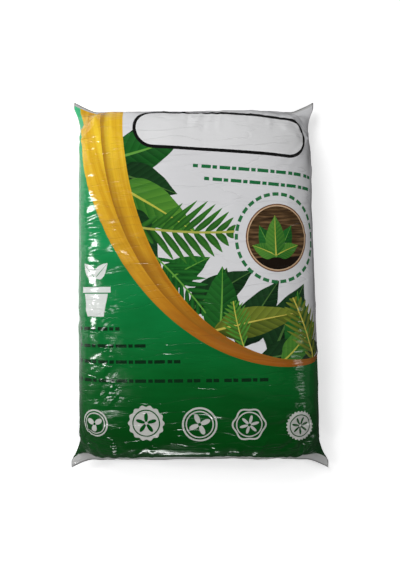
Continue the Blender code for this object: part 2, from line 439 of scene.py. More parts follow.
def settle_film(front, back, fins):
    """Lets the film find its place over the fill, and returns the same grids of points."""
    film, front_ids, back_ids, fin_ids = film_to_settle(front, back, fins)
    draw_to_pouch(film, front_ids, back_ids, fin_ids)
    fill, ground = fill_and_ground()
    cloth = film.modifiers.new("film", "CLOTH")
    for name, value in FILM_CLOTH.items():
        setattr(cloth.settings, name, value)
    cloth.collision_settings.distance_min = SKIN
    cloth.collision_settings.use_self_collision = False
    scene = bpy.context.scene
    for step in range(1, SETTLED_FRAME + 1):
        scene.frame_set(step)
    settled = film.evaluated_get(bpy.context.evaluated_depsgraph_get()).to_mesh()
    found = np.empty(len(settled.vertices) * 3)
    settled.vertices.foreach_get("co", found)
    found = found.reshape(-1, 3)
    scene.frame_set(1)
    for thing in (film, fill, ground):
        bpy.data.objects.remove(thing)
    return found[front_ids], found[back_ids], [found[fin_ids[0]], found[fin_ids[1]]]


def smooth_step(low, high, value):
    """A share that eases from 0 at low to 1 at high."""
    share = np.clip((value - low) / (high - low), 0, 1)
    return share * share * (3 - 2 * share)


def keep_ears(started, settled, hold):
    """The settled place, drawn back to the start where the stiff weld holds it, and never moved too far."""
    moved = settled - started
    size = np.maximum(1e-9, np.linalg.norm(moved, axis=-1, keepdims=True))
    moved = moved / size * FURTHEST_MOVE * np.tanh(size / FURTHEST_MOVE)
    return started + moved * (1 - hold[..., None])


def keep_rims(mesh, numbers):
    """Keeps the fins' cut rims sharp, and their corners pointed, when the film is rounded."""
    rim = np.zeros(len(mesh.vertices), bool)
    ends = CELLS_IN_FIN + 1
    for rows in (slice(0, ends), slice(-ends, None)):
        rim[numbers[rows, [0, -1]]] = True
    rim[numbers[[0, -1]]] = True
    edges = np.empty(len(mesh.edges) * 2, int)
    mesh.edges.foreach_get("vertices", edges)
    on_rim = rim[edges.reshape(-1, 2)].all(axis=1)
    mesh.attributes.new("crease_edge", "FLOAT", "EDGE").data.foreach_set("value", on_rim.astype(float))
    tips = np.zeros(len(mesh.vertices))
    tips[numbers[[0, 0, -1, -1], [0, -1, 0, -1]]] = 1
    mesh.attributes.new("crease_vert", "FLOAT", "POINT").data.foreach_set("value", tips)


def finished_film(front, back, fins):
    """One closed film, its fins doubled, with a map in the flat pouch's own metres."""
    front_all, back_all = (np.concatenate([fins[0][::-1], sheet, fins[1]]) for sheet in (front, back))
    last = CELLS_IN_FIN
    lift = outward_of(front_all, True) * SHEET_GAP / 2
    for rows in (slice(1, last + 1), slice(-last - 1, -1)):
        front_all[rows, 1:-1] += lift[rows, 1:-1]
        back_all[rows, 1:-1] -= lift[rows, 1:-1]
    bag, front_ids, back_ids = closed_pouch("printed_bag", front_all, back_all)
    across = np.linspace(-1, 1, CELLS_ACROSS + 1) * FLAT_WIDTH / 2
    body = np.linspace(-1, 1, CELLS_ALONG + 1) * FLAT_LENGTH / 2
    fin = FLAT_LENGTH / 2 + FIN_WIDTH * FIN_SHARES
    along = np.concatenate([-fin[::-1], body, fin])
    place = np.stack(np.meshgrid(across, along), axis=-1)
    layer = bag.data.uv_layers.new(name="flat_film")
    corner_map = []
    for shift in (0.0, BACK_SHIFT):
        corners = cell_corners(place + [shift, 0])
        if shift:
            corners = corners[::-1]
        corner_map.append(np.stack([c.reshape(-1, 2) for c in corners], axis=1).reshape(-1, 2))
    layer.uv.foreach_set("vector", np.concatenate(corner_map).ravel())
    keep_rims(bag.data, front_ids)
    return bag


front_start, back_start, fins_start = starting_film()
front_film, back_film, fin_films = settle_film(front_start, back_start, fins_start)
across, along = grid_shares(CELLS_ACROSS, CELLS_ALONG)
from_ear = np.hypot((1 - np.abs(across)) * FLAT_WIDTH / 2, (1 - np.abs(along)) * FLAT_LENGTH / 2)
hold = 1 - smooth_step(*EAR_HOLD, from_ear)
front_film = keep_ears(front_start, front_film, hold)
back_film = keep_ears(back_start, back_film, hold)
fin_hold = np.broadcast_to(np.maximum(hold[0], FIN_HOLD), fins_start[0].shape[:2])
fin_films = [keep_ears(started, settled, fin_hold) for started, settled in zip(fins_start, fin_films)]
front_film[..., 2] = np.maximum(front_film[..., 2], 0)
back_film[..., 2] = np.maximum(back_film[..., 2], 0)

bag = finished_film(front_film, back_film, fin_films)
rounder = bag.modifiers.new("rounder", "SUBSURF")
rounder.levels = rounder.render_levels = 1
rounded = bpy.data.meshes.new_from_object(bag.evaluated_get(bpy.context.evaluated_depsgraph_get()))
bag.modifiers.clear()
bag.data = rounded


def small_buckles(place):
    """How far the small side buckles lift the film, in millimetres."""
    across, along = place.T
    off_middle = (np.abs(across) - SMALL_BUCKLE_MIDDLE) / SMALL_BUCKLE_BAND
    sway = SMALL_BUCKLE_SWAY * np.sin(along / SMALL_BUCKLE_SWAY_ALONG + across / SMALL_BUCKLE_SWAY_ACROSS)
    turns = along / SMALL_BUCKLE_PITCH + sway + SMALL_BUCKLE_ARCH * off_middle**2
    upper_left = np.exp(-(((along - DEEP_BUCKLE_MIDDLE) / DEEP_BUCKLE_REACH) ** 2)) * (across < 0)
    deepest = SMALL_BUCKLE_LEAST + (1 - SMALL_BUCKLE_LEAST) * upper_left
    spots = [Vector((x * UNEVEN_STRETCH, y, UNEVEN_LAYER)) / UNEVEN_SIZE for x, y in place]
    uneven = np.array([noise.noise(spot) for spot in spots])
    wave = np.sin(2 * math.pi * (turns + UNEVEN_TURNS * uneven))
    return SMALL_BUCKLE_DEPTH * deepest * (1 + UNEVEN_DEPTH * uneven) * wave * np.exp(-(off_middle**2))


def crease_depth(place):
    """How far the small creases lift the film, in millimetres, at each place on the flat film."""
    chance = np.random.default_rng(CREASE_SEED)
    depth = np.zeros(len(place))
    for middle, spread, count, heading, vary, length, width, high, lean in CREASE_PATCHES:
        for _ in range(count):
            centre = np.array(middle) + chance.normal(0, 1, 2) * spread
            turn = math.radians(heading + chance.normal(0, vary / 2))
            reach = length * chance.uniform(*CREASE_LENGTHS)
            off = place - centre
            along = (off[:, 0] * math.cos(turn) + off[:, 1] * math.sin(turn)) / reach
            across = (off[:, 1] * math.cos(turn) - off[:, 0] * math.sin(turn)) / width
            across = across + chance.normal(0, CREASE_BEND) * along**2
            fade = np.maximum(0, 1 - along**2) ** 2
            signed = high * chance.choice((-1, 1), p=CREASE_DOWN_OR_UP) * chance.uniform(SHALLOWEST_CREASE, 1)
            across = np.where(across * signed > 0, across / lean, across)
            depth += signed * fade * np.exp(-(across**2))
    grain = [noise.noise(Vector((x, y * GRAIN_SQUASH, 0)) / GRAIN_SIZE) for x, y in place]
    return depth + small_buckles(place) + GRAIN_DEPTH * np.array(grain)


def crease_film(film):
    """Lifts the film's small creases, which leave out the welded ends."""
    mesh = film.data
    corners = np.empty(len(mesh.loops), int)
    mesh.loops.foreach_get("vertex_index", corners)
    flat = np.empty(len(mesh.loops) * 2)
    mesh.uv_layers["flat_film"].uv.foreach_get("vector", flat)
    place = np.zeros((len(mesh.vertices), 2))
    place[corners] = flat.reshape(-1, 2) * MM
    place[:, 0] -= np.where(place[:, 0] > BACK_SHIFT * MM / 2, BACK_SHIFT * MM, 0)
    points = np.empty(len(mesh.vertices) * 3)
    mesh.vertices.foreach_get("co", points)
    points = points.reshape(-1, 3)
    normals = np.empty(len(mesh.vertices) * 3)
    mesh.vertices.foreach_get("normal", normals)
    in_body = smooth_step(0, WELD_MARGIN, FLAT_LENGTH * MM / 2 - np.abs(place[:, 1]))
    in_body *= smooth_step(0, FOLD_MARGIN, FLAT_WIDTH * MM / 2 - np.abs(place[:, 0]))
    lift = crease_depth(place) * in_body / MM
    points += normals.reshape(-1, 3) * lift[:, None]
    points[:, 2] = np.maximum(points[:, 2], 0)
    mesh.vertices.foreach_set("co", points.ravel())
    mesh.update()


crease_film(bag)
bag.data.shade_smooth()


def from_hex(code):
    """An sRGB hex colour as linear light."""
    parts = [int(code[i : i + 2], 16) / 255 for i in (1, 3, 5)]
    return tuple(p / 12.92 if p <= 0.04045 else ((p + 0.055) / 1.055) ** 2.4 for p in parts) + (1.0,)


MATH = "ShaderNodeMath"
VECTOR = "ShaderNodeVectorMath"
MIX = "ShaderNodeMixRGB"


def add(tree, kind, *sources, **settings):
    """A node with its settings and its sources in its inputs' order. Gives its output, or all of them."""
    made = tree.nodes.new(kind)
    for name, value in settings.items():
        setattr(made, name, value)
    for socket, source in zip(made.inputs, sources):
        if isinstance(source, bpy.types.NodeSocket):
            tree.links.new(source, socket)
        elif source is not None:
            socket.default_value = source
    return made.outputs[0] if len(made.outputs) == 1 else made.outputs


def set_curve(output, points):
    """Draws the curve of a curve node through points."""
    curve = output.node.mapping.curves[0]
    curve.points[0].location = points[0]
    curve.points[-1].location = points[-1]
    for point in points[1:-1]:
        curve.points.new(*point)
    output.node.mapping.update()


def set_ramp(outputs, stops):
    """Sets a colour ramp's stops, each a place and a hex colour, and gives its colour."""
    ramp = outputs[0].node.color_ramp
    while len(ramp.elements) < len(stops):
        ramp.elements.new(0.5)
    for element, (at, code) in zip(ramp.elements, stops):
        element.position = at
        element.color = from_hex(code)
    return outputs[0]


def motif(name, inputs, output):
    """An empty node group for a printed motif, its inputs' sources by name and its output's sink."""
    group = bpy.data.node_groups.new(name, "ShaderNodeTree")
    for socket, kind in inputs.items():
        group.interface.new_socket(socket, in_out="INPUT", socket_type="NodeSocket" + kind)
    group.interface.new_socket("Printed", in_out="OUTPUT", socket_type="NodeSocket" + output)
    sources = group.nodes.new("NodeGroupInput").outputs
    sink = group.nodes.new("NodeGroupOutput").inputs[0]
    return group, sources, sink


# The motifs' own shapes and tones, as shares of their size. The dashes alone are in millimetres
LEAF_OUTLINE = [(0, 0), (0.1, 0.52), (0.34, 1), (0.68, 0.7), (0.9, 0.22), (1, 0)]
VEINS, VEIN_SLANT = 9.0, 0.22
VEIN_TONE, LIT_SIDE_TONE, TIP_TONE = 0.34, 0.3, 0.34
RIB_WIDTH, RIB_THINNING = 0.075, 0.06
FROND_OUTLINE = [(0, 0), (0.06, 0.45), (0.28, 1), (0.6, 0.78), (0.86, 0.4), (1, 0)]
LEAFLET_OUTLINE = [(0, 0.16), (0.3, 0.42), (0.65, 0.3), (0.9, 0.12), (1, 0)]
LEAFLETS, LEAFLET_SLANT, FROND_STALK = 9.0, 0.3, 0.035
LEAFLET_TONE, LEAFLET_EDGE_TONE, LEAFLET_TIP_TONE = 0.62, 1.3, 0.35
DASHES_PER_MM, DASH_SHARE, DASH_HALF_HEIGHT = 0.105, 0.74, 1.7
DASH_SWAY, DASH_SWAY_PER_MM = 0.22, 0.31
EMBLEM_RIM, EMBLEM_RIM_HALF = 0.95, 0.05
EMBLEM_RING, EMBLEM_RING_HALF = 0.72, 0.035
PETAL_MIDDLE, PETAL_SWING, FLOWER_EYE = 0.58, 0.42, 0.09
POT_HALF, POT_SPREAD, POT_MIDDLE, POT_HALF_HEIGHT = 0.72, 0.24, -0.52, 0.48
POT_RIM_HALF, POT_RIM_MIDDLE, POT_RIM_HALF_HEIGHT = 0.86, 0.13, 0.12
STALK_HALF, STALK_MIDDLE, STALK_HALF_HEIGHT = 0.05, 0.62, 0.34
SPROUT_LEAF_FOOT, SPROUT_LEAF_SIZE = (0, 0.62), (0.95, 0.26)
SPROUT_LEAVES = ((38, -0.2), (142, 0.2))
LEAF_INPUTS = {"Place": "Vector", "Bend": "Float"} | dict.fromkeys(("Under", "Dark", "Light", "Rib"), "Color")


def bent_place(tree, sources):
    """A leaf's own place, along from its foot and across from its bent middle, and the size of the latter."""
    along, across, _ = add(tree, "ShaderNodeSeparateXYZ", sources["Place"])
    sag = add(tree, MATH, along, along, operation="MULTIPLY")
    across = add(tree, MATH, sag, sources["Bend"], across, operation="MULTIPLY_ADD")
    return along, across, add(tree, MATH, across, operation="ABSOLUTE")


def broad_leaf():
    """A pointed oval leaf, 1 long and 1 to each side of its rib, with slanting side veins."""
    group, sources, sink = motif("broad_leaf", LEAF_INPUTS, "Color")
    along, across, off_rib = bent_place(group, sources)
    half_width = add(group, "ShaderNodeFloatCurve", 1.0, along)
    set_curve(half_width, LEAF_OUTLINE)
    inside = add(group, MATH, off_rib, half_width, operation="LESS_THAN")
    veins = add(group, MATH, off_rib, -VEIN_SLANT, along, operation="MULTIPLY_ADD")
    veins = add(group, MATH, veins, VEINS, operation="MULTIPLY")
    veins = add(group, MATH, veins, operation="FRACT")
    lit_side = add(group, MATH, across, 0.0, operation="GREATER_THAN")
    tone = add(group, MATH, veins, VEIN_TONE, operation="MULTIPLY")
    tone = add(group, MATH, lit_side, LIT_SIDE_TONE, tone, operation="MULTIPLY_ADD")
    tone = add(group, MATH, along, TIP_TONE, tone, operation="MULTIPLY_ADD")
    colour = add(group, MIX, tone, sources["Dark"], sources["Light"])
    rib_width = add(group, MATH, along, -RIB_THINNING, RIB_WIDTH, operation="MULTIPLY_ADD")
    on_rib = add(group, MATH, off_rib, rib_width, operation="LESS_THAN")
    colour = add(group, MIX, on_rib, colour, sources["Rib"])
    group.links.new(add(group, MIX, inside, sources["Under"], colour), sink)
    return group


def fern_leaf():
    """A frond, 1 long and 1 to each side, with slanting narrow leaflets down both sides of its stalk."""
    group, sources, sink = motif("fern_leaf", LEAF_INPUTS, "Color")
    along, across, off_rib = bent_place(group, sources)
    foot = add(group, MATH, off_rib, -LEAFLET_SLANT, along, operation="MULTIPLY_ADD")
    reach = add(group, "ShaderNodeFloatCurve", 1.0, foot)
    set_curve(reach, FROND_OUTLINE)
    leaflets = add(group, MATH, foot, LEAFLETS, operation="MULTIPLY")
    leaflets = add(group, MATH, leaflets, operation="FRACT")
    off_middle = add(group, MATH, leaflets, 0.5, operation="SUBTRACT")
    off_middle = add(group, MATH, off_middle, operation="ABSOLUTE")
    share = add(group, MATH, off_rib, reach, operation="DIVIDE")
    half_width = add(group, "ShaderNodeFloatCurve", 1.0, share)
    set_curve(half_width, LEAFLET_OUTLINE)
    inside = add(group, MATH, off_middle, half_width, operation="LESS_THAN")
    in_reach = add(group, MATH, off_rib, reach, operation="LESS_THAN")
    inside = add(group, MATH, inside, in_reach, operation="MULTIPLY")
    on_stalk = add(group, MATH, off_rib, FROND_STALK, operation="LESS_THAN")
    in_length = add(group, MATH, along, 0.5, 0.5, operation="COMPARE")
    on_stalk = add(group, MATH, on_stalk, in_length, operation="MULTIPLY")
    tone = add(group, MATH, off_middle, -LEAFLET_EDGE_TONE, LEAFLET_TONE, operation="MULTIPLY_ADD")
    tone = add(group, MATH, share, LEAFLET_TIP_TONE, tone, operation="MULTIPLY_ADD")
    colour = add(group, MIX, tone, sources["Dark"], sources["Light"])
    colour = add(group, MIX, on_stalk, colour, sources["Rib"])
    covered = add(group, MATH, inside, on_stalk, operation="MAXIMUM")
    group.links.new(add(group, MIX, covered, sources["Under"], colour), sink)
    return group


def dash_row():
    """A row of plain dashes of uneven length, from its start to its Length in millimetres."""
    group, sources, sink = motif("dash_row", {"Place": "Vector", "Length": "Float"}, "Float")
    along, across, _ = add(group, "ShaderNodeSeparateXYZ", sources["Place"])
    sway = add(group, MATH, along, DASH_SWAY_PER_MM, operation="MULTIPLY")
    sway = add(group, MATH, sway, operation="SINE")
    dashes = add(group, MATH, along, DASHES_PER_MM, operation="MULTIPLY")
    dashes = add(group, MATH, sway, DASH_SWAY, dashes, operation="MULTIPLY_ADD")
    dashes = add(group, MATH, dashes, operation="FRACT")
    on = add(group, MATH, dashes, DASH_SHARE, operation="LESS_THAN")
    in_height = add(group, MATH, across, 0.0, DASH_HALF_HEIGHT, operation="COMPARE")
    half = add(group, MATH, sources["Length"], 0.5, operation="MULTIPLY")
    in_length = add(group, MATH, along, half, half, operation="COMPARE")
    on = add(group, MATH, on, in_height, operation="MULTIPLY")
    group.links.new(add(group, MATH, on, in_length, operation="MULTIPLY"), sink)
    return group


def rosette():
    """A round emblem of radius 1: a lobed rim line, a thin inner ring and a petalled flower."""
    kinds = dict.fromkeys(("Lobes", "Lobe", "Petals", "Flower", "Solid"), "Float")
    group, sources, sink = motif("rosette", {"Place": "Vector"} | kinds, "Float")
    east, north, _ = add(group, "ShaderNodeSeparateXYZ", sources["Place"])
    out = add(group, VECTOR, sources["Place"], operation="LENGTH")[1]
    angle = add(group, MATH, north, east, operation="ARCTAN2")
    lobes = add(group, MATH, angle, sources["Lobes"], operation="MULTIPLY")
    lobes = add(group, MATH, lobes, operation="COSINE")
    rim = add(group, MATH, lobes, sources["Lobe"], EMBLEM_RIM, operation="MULTIPLY_ADD")
    off_rim = add(group, MATH, rim, out, operation="SUBTRACT")
    line = add(group, MATH, off_rim, EMBLEM_RIM_HALF, EMBLEM_RIM_HALF, operation="COMPARE")
    ring = add(group, MATH, out, EMBLEM_RING, EMBLEM_RING_HALF, operation="COMPARE")
    body = add(group, MATH, off_rim, 0.0, operation="GREATER_THAN")
    body = add(group, MATH, body, sources["Solid"], operation="MULTIPLY")
    petals = add(group, MATH, angle, sources["Petals"], operation="MULTIPLY")
    petals = add(group, MATH, petals, operation="SINE")
    petals = add(group, MATH, petals, PETAL_SWING, PETAL_MIDDLE, operation="MULTIPLY_ADD")
    reach = add(group, MATH, petals, sources["Flower"], operation="MULTIPLY")
    flower = add(group, MATH, out, reach, operation="LESS_THAN")
    eye = add(group, MATH, out, FLOWER_EYE, operation="GREATER_THAN")
    flower = add(group, MATH, flower, eye, operation="MULTIPLY")
    drawn = add(group, MATH, ring, flower, operation="MAXIMUM")
    drawn = add(group, MATH, drawn, body, operation="SUBTRACT")
    drawn = add(group, MATH, drawn, operation="ABSOLUTE")
    group.links.new(add(group, MATH, drawn, line, operation="MAXIMUM"), sink)
    return group


def own_place(tree, place, centre, size=(1, 1), degrees=0.0):
    """The place in a motif's own measure: from its centre, turned with it and in units of its size."""
    turn = (0, 0, math.radians(degrees))
    return add(tree, "ShaderNodeMapping", place, (*centre, 0), turn, (*size, 1), vector_type="TEXTURE")


# Further right than the film reaches, in millimetres
PAST_EDGE = 1000


def inside_curve(tree, place, centre, radii):
    """How far out a place is from an oval's centre, in its radii. Above the centre its sides run straight."""
    off = add(tree, VECTOR, place, (*centre, 0), operation="SUBTRACT")[0]
    off = add(tree, VECTOR, off, (PAST_EDGE, 0, 0), operation="MINIMUM")[0]
    off = add(tree, VECTOR, off, (*radii, 1), operation="DIVIDE")[0]
    return add(tree, VECTOR, off, operation="LENGTH")[1]


# The printed leaves, in flat millimetres and degrees: foot, heading, length, half width and bend. Each green
# has a dark, a light and a rib colour
GREENS = {
    "deep": ("#0a3413", "#26702a", "#5f9a3c"),
    "fresh": ("#175a1e", "#5c9434", "#b9b84a"),
    "olive": ("#2c3c10", "#7c8a2c", "#c4b64e"),
    "night": ("#061a0c", "#1e4422", "#476c34"),
    "shady": ("#0f3a14", "#3c7a2b", "#a9aa4e"),
}
BROAD_LEAVES = [
    ((-72, 146), -14, 44, 15, 0.25, "night"),
    ((-84, 126), 12, 78, 21, -0.35, "deep"),
    ((-80, 112), -16, 66, 17, 0.25, "night"),
    ((-80, 100), -28, 96, 20, 0.3, "fresh"),
    ((-70, 78), -62, 64, 15, -0.2, "night"),
    ((-34, 2), 32, 54, 14, 0.3, "deep"),
    ((10, -36), 64, 56, 16, -0.3, "night"),
    ((-8, -26), 34, 76, 17, 0.2, "night"),
    ((22, -52), 84, 70, 18, -0.2, "deep"),
    ((40, -62), 60, 78, 18, 0.25, "night"),
    ((74, -72), 66, 80, 20, 0.2, "night"),
    ((104, -78), 88, 70, 17, -0.25, "deep"),
    ((16, -46), 14, 92, 15, 0.35, "olive"),
    ((60, -76), 12, 84, 15, 0.3, "night"),
    ((84, -78), 40, 58, 13, -0.2, "fresh"),
]
FERN_LEAVES = [
    ((-60, 58), -10, 98, 32, -0.35, "shady"),
    ((-40, 28), -44, 74, 22, 0.3, "deep"),
    ((122, -80), 106, 70, 20, -0.3, "olive"),
    ((46, -62), 108, 46, 15, 0.3, "fresh"),
]

PALE = "#d8d8da"
FIELD_STOPS = [
    (0.0, "#013c0e"),
    (0.14, "#024812"),
    (0.28, "#076226"),
    (0.45, "#0e7c3e"),
    (0.7, "#1f9658"),
    (1.0, "#4cc088"),
]
GOLD_STOPS = [
    (0.0, "#8f4e17"),
    (0.3, "#a8661f"),
    (0.45, "#c08526"),
    (0.62, "#d8a92e"),
    (0.85, "#efcb36"),
    (1.0, "#e8bc2a"),
]
WOOD_STOPS = [(0.3, "#2a1c10"), (0.5, "#4a3620"), (0.66, "#75583a")]

# The print's other places in flat millimetres. A row of dashes has its start, length and slope in degrees
PRINT_FOOT, PRINT_TOP = -200.0, 200.0
PANEL_CENTRE, PANEL_TURN, PANEL_HALF, PANEL_ROUND = (28, 153.4), -4.2, 68.5, 20.5
PANEL_LINE_HALF = 1.65
PALE_DASHES = [((-2, 118), 128, -4.5), ((9, 105), 117, -4.9)]
GREEN_DASHES = [((-127, -43), 50, 0), ((-127, -60), 78, 0), ((-127, -76), 110, 0), ((-127, -95), 197, 0)]
SPROUT_CENTRE, SPROUT_SIZE = (-103.5, -7), (20, 24)

# The ovals that bound the gold bands and the green field: centre and radii
INNER_OVAL = ((105.9, 171.2), (178.9, 247.5))
MIDDLE_OVAL = ((106.5, 176.1), (203.8, 254.4))
OUTER_OVAL = ((96.0, 248.9), (231.9, 332.0))

# The roundel's centre and radii, its seedling's leaves, and the rest as shares of its radii
ROUNDEL_CENTRE, ROUNDEL_SIZE = (81.9, 45.4), (32.3, 33.9)
SEEDLING = [
    ((80, 26), 122, 36, 9, 0.3, "deep"),
    ((80, 26), 58, 36, 9, -0.3, "deep"),
    ((80, 28), 152, 26, 8, -0.3, "fresh"),
    ((80, 28), 28, 26, 8, 0.3, "fresh"),
    ((80, 28), 92, 40, 10, 0.1, "fresh"),
]
WOOD_GRAIN = (1.6, 15, 1)
SOIL_TOP, SOIL_UNEVENNESS = -0.42, 0.3
RIM_FROM = 0.93
RIM_LINE, RIM_LINE_HALF = 0.945, 0.018
RING_OUT, RING_HALF = 1.29, 0.05
RING_DASHES_PER_RADIAN = 4.6
RING_DASH_SHARE = 0.7

# Emblems: centre, radius, rim lobes and their depth, petals and their reach, and 1 for a solid one
EMBLEMS = [
    ((-105.8, -139.4), 15.5, 3, 0.0, 3, 0.6, 0.0),
    ((-52.0, -137.5), 18.5, 14, 0.045, 5, 0.58, 1.0),
    ((1.2, -138.9), 18.5, 3, 0.0, 4, 0.6, 0.0),
    ((50.4, -139.5), 17.5, 6, 0.05, 6, 0.56, 0.0),
    ((103.4, -143.5), 15.5, 26, 0.04, 7, 0.6, 1.0),
]

# Where the print ends, in flat millimetres. Its lower edge drops towards the sides
UNPRINTED_BELOW, UNPRINTED_ABOVE = -176.0, 208.0
PRINT_SIDE, PRINT_SIDE_DROP, PRINT_SIDE_POWER = 130.0, 19.0, 4.0

# Patterns in cycles to a millimetre, across and up: clouds in the ink of about 83 by 29 mm, crinkles of about
# 56 by 6 mm and slack creases of about 91 by 16 mm. The weld's ribs turn once in a millimetre
CLOUDS_PER_MM = (0.012, 0.034, 1)
CRINKLES_PER_MM = (0.018, 0.16, 1)
CREASES_PER_MM = (0.011, 0.062, 1)
GRAIN_PER_MM = 0.9
SMUDGES_PER_MM = 0.05
RIB_TURN_PER_MM = 6.3
WELD_RELIEF, CRINKLE_RELIEF, CREASE_RELIEF = 0.03, 0.45, 0.26
CREASE_LINE = 0.022
FILM_GLOSS = (0.12, 0.2)

# The gold's streaks, in cycles to the ovals' radii and the film's height, and its patches in streaks
GOLD_STREAKS = (46, 2.6, 1)
GOLD_PATCHES = (0.35, 4.5, 1)
FOLD_SHADE_FROM, FOLD_SHADE = 0.955, 0.75

# The part of a noise that counts, where a pattern is strongest, and over which shares of the height it fades
NOISE_SPAN, SMUDGE_SPAN, PATCH_SPAN = (0.35, 0.68), (0.3, 0.7), (0.44, 0.7)
CLOUD_MOST, PATCH_MOST, PATCH_LEAST = 0.5, 0.7, 0.1
PATCH_HEIGHTS = (0.25, 0.85)


def laid_leaves(tree, place, under, leaves, kind):
    """The printed leaves, each laid over the ones before it."""
    for foot, heading, length, half_width, bend, green in leaves:
        dark, light, rib = (from_hex(code) for code in GREENS[green])
        own = own_place(tree, place, foot, (length, half_width), heading)
        under = add(tree, "ShaderNodeGroup", own, bend, under, dark, light, rib, node_tree=kind)
    return under


def gold_band(tree, height, rounds, stops):
    """Gold that darkens down the bag, with streaks along the band and scorched patches low down."""
    gold = set_ramp(add(tree, "ShaderNodeValToRGB", height), stops)
    streak_place = add(tree, "ShaderNodeCombineXYZ", rounds, height, 0.0)
    streak_place = add(tree, VECTOR, streak_place, GOLD_STREAKS, operation="MULTIPLY")[0]
    streaks = add(tree, "ShaderNodeTexNoise", streak_place, None, 1.0, 3.0)[0]
    streaks = add(tree, "ShaderNodeMapRange", streaks, *NOISE_SPAN, 0.0, 1.0)[0]
    dark = add(tree, MIX, 1.0, gold, from_hex("#e4cc98"), blend_type="MULTIPLY")
    gold = add(tree, MIX, streaks, dark, gold)
    patch_place = add(tree, VECTOR, streak_place, GOLD_PATCHES, operation="MULTIPLY")[0]
    patches = add(tree, "ShaderNodeTexNoise", patch_place, None, 1.0, 3.0)[0]
    patches = add(tree, "ShaderNodeMapRange", patches, *PATCH_SPAN, 0.0, PATCH_MOST)[0]
    low_down = add(tree, "ShaderNodeMapRange", height, *PATCH_HEIGHTS, 1.0, PATCH_LEAST)[0]
    patches = add(tree, MATH, patches, low_down, operation="MULTIPLY")
    return add(tree, MIX, patches, gold, from_hex("#8c5220"))


def potted_sprout(tree, place):
    """A plain flowerpot with a stalk and two leaves, as a printed share."""
    east, north, _ = add(tree, "ShaderNodeSeparateXYZ", place)
    off_middle = add(tree, MATH, east, operation="ABSOLUTE")
    pot_half = add(tree, MATH, north, POT_SPREAD, POT_HALF, operation="MULTIPLY_ADD")
    in_pot = add(tree, MATH, off_middle, pot_half, operation="LESS_THAN")
    pot_high = add(tree, MATH, north, POT_MIDDLE, POT_HALF_HEIGHT, operation="COMPARE")
    shape = add(tree, MATH, in_pot, pot_high, operation="MULTIPLY")
    in_rim = add(tree, MATH, off_middle, POT_RIM_HALF, operation="LESS_THAN")
    rim_high = add(tree, MATH, north, POT_RIM_MIDDLE, POT_RIM_HALF_HEIGHT, operation="COMPARE")
    shape = add(tree, MATH, in_rim, rim_high, shape, operation="MULTIPLY_ADD")
    on_stalk = add(tree, MATH, off_middle, STALK_HALF, operation="LESS_THAN")
    stalk_high = add(tree, MATH, north, STALK_MIDDLE, STALK_HALF_HEIGHT, operation="COMPARE")
    shape = add(tree, MATH, on_stalk, stalk_high, shape, operation="MULTIPLY_ADD")
    white, none = (1, 1, 1, 1), (0, 0, 0, 1)
    for heading, bend in SPROUT_LEAVES:
        own = own_place(tree, place, SPROUT_LEAF_FOOT, SPROUT_LEAF_SIZE, heading)
        leaf = add(tree, "ShaderNodeGroup", own, bend, none, white, white, none, node_tree=LEAF)
        shape = add(tree, MATH, shape, leaf, operation="MAXIMUM")
    return shape


LEAF = broad_leaf()
FERN = fern_leaf()
DASHES = dash_row()
ROSETTE = rosette()

# Sockets that say where a point lies on the flat film, in millimetres, and whether it is on the front
FlatFilm = namedtuple("FlatFilm", "millimetres across up place height on_front")


def flat_film(tree):
    """Where each point lies on the flat film."""
    flat_map = add(tree, "ShaderNodeUVMap", uv_map="flat_film")
    millimetres = add(tree, VECTOR, flat_map, None, None, MM, operation="SCALE")[0]
    across, up, _ = add(tree, "ShaderNodeSeparateXYZ", millimetres)
    on_back = add(tree, MATH, across, BACK_SHIFT * MM / 2, operation="GREATER_THAN")
    on_front = add(tree, MATH, 1.0, on_back, operation="SUBTRACT")
    across = add(tree, MATH, on_back, -BACK_SHIFT * MM, across, operation="MULTIPLY_ADD")
    place = add(tree, "ShaderNodeCombineXYZ", across, up, 0.0)
    height = add(tree, "ShaderNodeMapRange", up, PRINT_FOOT, PRINT_TOP, 0.0, 1.0)[0]
    return FlatFilm(millimetres, across, up, place, height, on_front)


def print_on(tree, film, share, under, ink):
    """Ink over what is under it, as far as a share says, on the front alone."""
    share = add(tree, MATH, share, film.on_front, operation="MULTIPLY")
    return add(tree, MIX, share, under, ink)


def laid_dashes(tree, film, under, rows, ink):
    """Rows of plain dashes."""
    for start, length, degrees in rows:
        own = own_place(tree, film.place, start, degrees=degrees)
        dashes = add(tree, "ShaderNodeGroup", own, length, node_tree=DASHES)
        under = print_on(tree, film, dashes, under, from_hex(ink))
    return under


def pale_field(tree, film):
    """The pale field with its leaves, and bare on the back."""
    colour = laid_leaves(tree, film.place, from_hex(PALE), BROAD_LEAVES, LEAF)
    colour = laid_leaves(tree, film.place, colour, FERN_LEAVES, FERN)
    return add(tree, MIX, film.on_front, from_hex(PALE), colour)


def outlined_panel(tree, film, under):
    """An empty panel with round ends and a black outline."""
    own = own_place(tree, film.place, PANEL_CENTRE, degrees=PANEL_TURN)
    own = add(tree, VECTOR, own, operation="ABSOLUTE")[0]
    own = add(tree, VECTOR, own, (PANEL_HALF, 0, 0), operation="SUBTRACT")[0]
    own = add(tree, VECTOR, own, (0, 0, 0), operation="MAXIMUM")[0]
    out = add(tree, VECTOR, own, operation="LENGTH")[1]
    inside = add(tree, MATH, out, PANEL_ROUND, operation="LESS_THAN")
    colour = print_on(tree, film, inside, under, from_hex("#dededf"))
    on_outline = add(tree, MATH, out, PANEL_ROUND, PANEL_LINE_HALF, operation="COMPARE")
    return print_on(tree, film, on_outline, colour, from_hex("#141414"))


